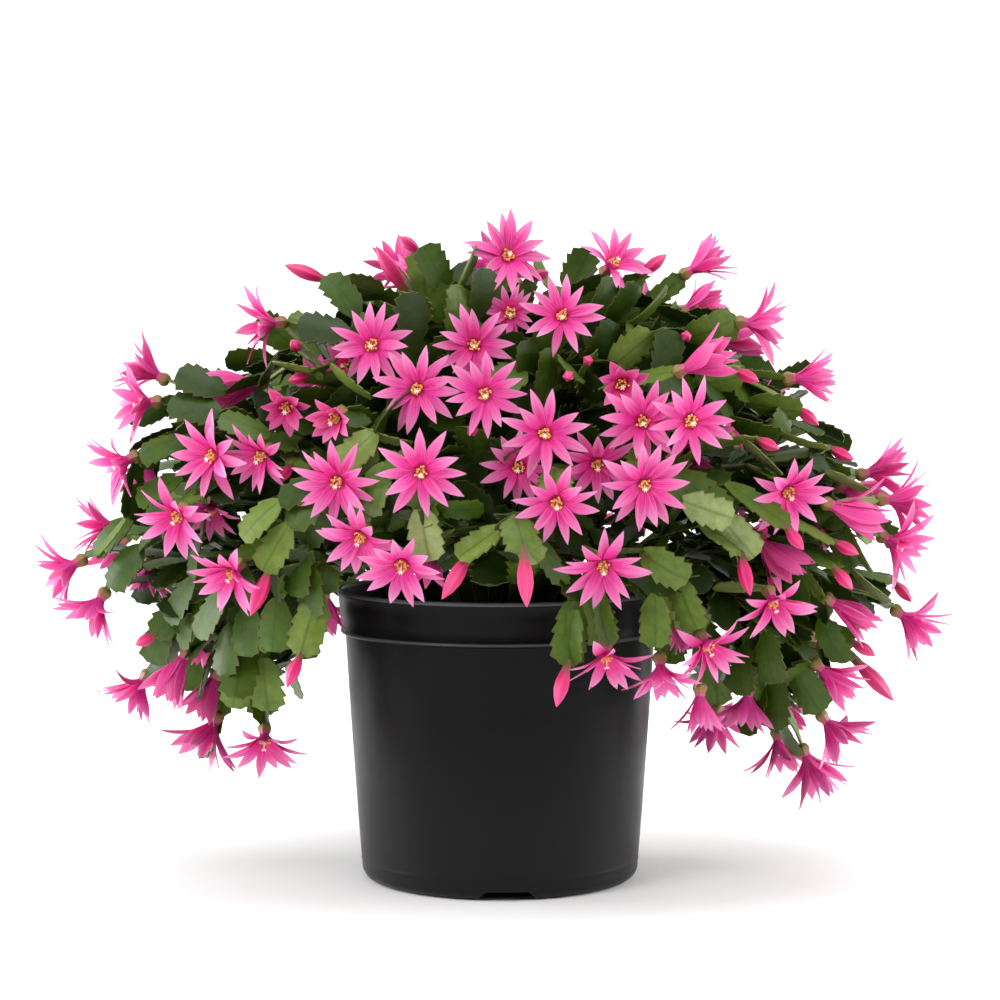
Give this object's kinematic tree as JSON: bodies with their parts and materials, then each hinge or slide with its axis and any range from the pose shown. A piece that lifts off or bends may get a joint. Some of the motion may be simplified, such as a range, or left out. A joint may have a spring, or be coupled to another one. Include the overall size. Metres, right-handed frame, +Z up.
{
  "type": "potted easter cactus",
  "caption": "Easter cactus with arching flat segmented stems and pink star blooms, standing in a plain black nursery pot.",
  "frame": {"origin": "middle of the pot's flat underside, on the surface that it stands on", "axes": "+Z up along the pot's axis, -Y towards the front, +X to the right as seen from the front"},
  "size_m": [0.4927, 0.3893, 0.3837],
  "materials": {
    "pot_plastic": "black moulded plastic with a soft satin sheen",
    "potting_mix": "rough, dark and crumbly",
    "stems": "smooth, waxy green flesh",
    "petals": "soft pink with a deeper throat"
  },
  "bodies": {
    "root": {"pot": "pot_plastic", "potting_mix": "potting_mix", "spray_01": "stems", "spray_02": "stems", "spray_03": "stems", "spray_04": "stems", "spray_05": "stems", "spray_06": "stems", "spray_07": "stems", "spray_08": "stems", "spray_09": "stems", "spray_10": "stems", "spray_11": "stems", "spray_12": "stems", "spray_13": "stems", "spray_14": "stems", "spray_15": "stems", "spray_16": "stems", "spray_17": "stems", "spray_18": "stems", "spray_19": "stems", "spray_20": "stems", "spray_21": "stems"}
  },
  "joints": []
}
